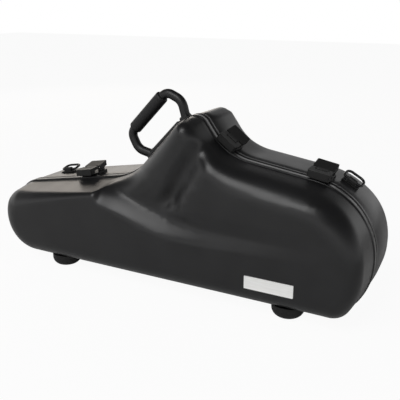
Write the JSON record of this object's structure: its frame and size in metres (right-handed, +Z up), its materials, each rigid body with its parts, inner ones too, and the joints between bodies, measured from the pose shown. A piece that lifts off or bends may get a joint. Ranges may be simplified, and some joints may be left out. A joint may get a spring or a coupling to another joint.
{
  "type": "alto saxophone case",
  "caption": "Moulded two-shell alto saxophone case with a sculpted lid, shaped lining, draw latches, folding handle, carrying rings, hinges and rubber feet.",
  "frame": {"origin": "under the middle of the case, on the plane of the foot soles", "axes": "+X along the case towards its tall round end, -Y out of the sculpted lid, +Z up from the feet"},
  "size_m": [0.6564, 0.1752, 0.3124],
  "materials": {
    "shell": "satin moulded ABS with a fine grain",
    "seal": "matt extruded rubber",
    "plush": "short-pile plush over moulded foam",
    "webbing": "woven polypropylene webbing",
    "foot_rubber": "matt moulded rubber",
    "fastener_steel": "blackened steel",
    "hinge_steel": "black lacquered steel",
    "handle_plastic": "moulded nylon",
    "grip": "soft textured sleeve",
    "pin_steel": "turned steel",
    "latch_black": "black powder coat",
    "ring_steel": "black lacquered wire",
    "plate_metal": "satin pressed plate, left bare"
  },
  "bodies": {
    "base": {"base_foot_left": "foot_rubber", "base_foot_right": "foot_rubber", "base_foot_screws": "fastener_steel", "base_liner": "plush", "base_shell": "shell", "handle_base": "handle_plastic", "handle_pin_lower": "pin_steel", "handle_pin_upper": "pin_steel", "handle_screws": "fastener_steel", "hinge_left_base_leaf": "hinge_steel", "hinge_left_pin": "hinge_steel", "hinge_right_base_leaf": "hinge_steel", "hinge_right_pin": "hinge_steel", "hinge_rivets_base": "fastener_steel", "instrument_strap": "webbing", "latch_left_bracket": "latch_black", "latch_left_lever_pin": "pin_steel", "latch_middle_bracket": "latch_black", "latch_middle_lever_pin": "pin_steel", "latch_right_bracket": "latch_black", "latch_right_lever_pin": "pin_steel", "latch_rivets_base": "fastener_steel", "rim_seal": "seal", "ring_left_bracket": "latch_black", "ring_right_bracket": "latch_black", "ring_rivets": "fastener_steel"},
    "lid": {"lid_shell": "shell", "lid_liner": "plush", "lid_foot_left": "foot_rubber", "lid_foot_right": "foot_rubber", "lid_foot_screws": "fastener_steel", "hinge_left_lid_leaf": "hinge_steel", "hinge_right_lid_leaf": "hinge_steel", "hinge_rivets_lid": "fastener_steel", "latch_left_strike": "latch_black", "latch_middle_strike": "latch_black", "latch_right_strike": "latch_black", "latch_rivets_lid": "fastener_steel", "name_plate": "plate_metal"},
    "handle": {"handle_loop": "handle_plastic", "handle_grip": "grip"},
    "lever_left": {"latch_left_lever": "latch_black", "latch_left_claw_pin": "pin_steel"},
    "claw_left": {"latch_left_claw": "latch_black"},
    "lever_middle": {"latch_middle_lever": "latch_black", "latch_middle_claw_pin": "pin_steel"},
    "claw_middle": {"latch_middle_claw": "latch_black"},
    "lever_right": {"latch_right_lever": "latch_black", "latch_right_claw_pin": "pin_steel"},
    "claw_right": {"latch_right_claw": "latch_black"},
    "ring_left": {"ring_left": "ring_steel"},
    "ring_right": {"ring_right": "ring_steel"}
  },
  "joints": [
    {"name": "lid_hinge", "type": "hinge", "parent": "base", "child": "lid", "pos_m": [0, -0.0124, 0.0094], "axis": [1, 0, 0], "range_deg": [0, 105]},
    {"name": "handle_fold", "type": "hinge", "parent": "base", "child": "handle", "pos_m": [-0.02457, 0.0146, 0.23428], "axis": [0.6902, 0, 0.7236], "range_deg": [-75, 75]},
    {"name": "lever_left_lift", "type": "hinge", "parent": "base", "child": "lever_left", "pos_m": [-0.17529, -0.0078, 0.16141], "axis": [0.9848, 0, 0.1736], "range_deg": [0, 70]},
    {"name": "claw_left_turn", "type": "hinge", "parent": "lever_left", "child": "claw_left", "pos_m": [-0.17609, -0.00125, 0.16593], "axis": [0.9848, 0, 0.1736], "range_deg": [-98, 0]},
    {"name": "lever_middle_lift", "type": "hinge", "parent": "base", "child": "lever_middle", "pos_m": [0.09359, -0.0078, 0.24308], "axis": [0.7877, 0, -0.6161], "range_deg": [0, 70]},
    {"name": "claw_middle_turn", "type": "hinge", "parent": "lever_middle", "child": "claw_middle", "pos_m": [0.09641, -0.00125, 0.2467], "axis": [0.7877, 0, -0.6161], "range_deg": [-98, 0]},
    {"name": "lever_right_lift", "type": "hinge", "parent": "base", "child": "lever_right", "pos_m": [0.23732, -0.0078, 0.21045], "axis": [0.9832, 0, -0.1823], "range_deg": [0, 70]},
    {"name": "claw_right_turn", "type": "hinge", "parent": "lever_right", "child": "claw_right", "pos_m": [0.23815, -0.00125, 0.21497], "axis": [0.9832, 0, -0.1823], "range_deg": [-98, 0]},
    {"name": "ring_left_swing", "type": "hinge", "parent": "base", "child": "ring_left", "pos_m": [-0.25658, 0.0356, 0.14451], "axis": [0.9848, 0, 0.1736], "range_deg": [0, 130]},
    {"name": "ring_right_swing", "type": "hinge", "parent": "base", "child": "ring_right", "pos_m": [0.27392, 0.0356, 0.19423], "axis": [0.8626, 0, -0.5059], "range_deg": [0, 130]}
  ],
  "couplings": [
    {"joint": "claw_left_turn", "follows": "lever_left_lift", "ratio": -1.4},
    {"joint": "claw_middle_turn", "follows": "lever_middle_lift", "ratio": -1.4},
    {"joint": "claw_right_turn", "follows": "lever_right_lift", "ratio": -1.4}
  ]
}
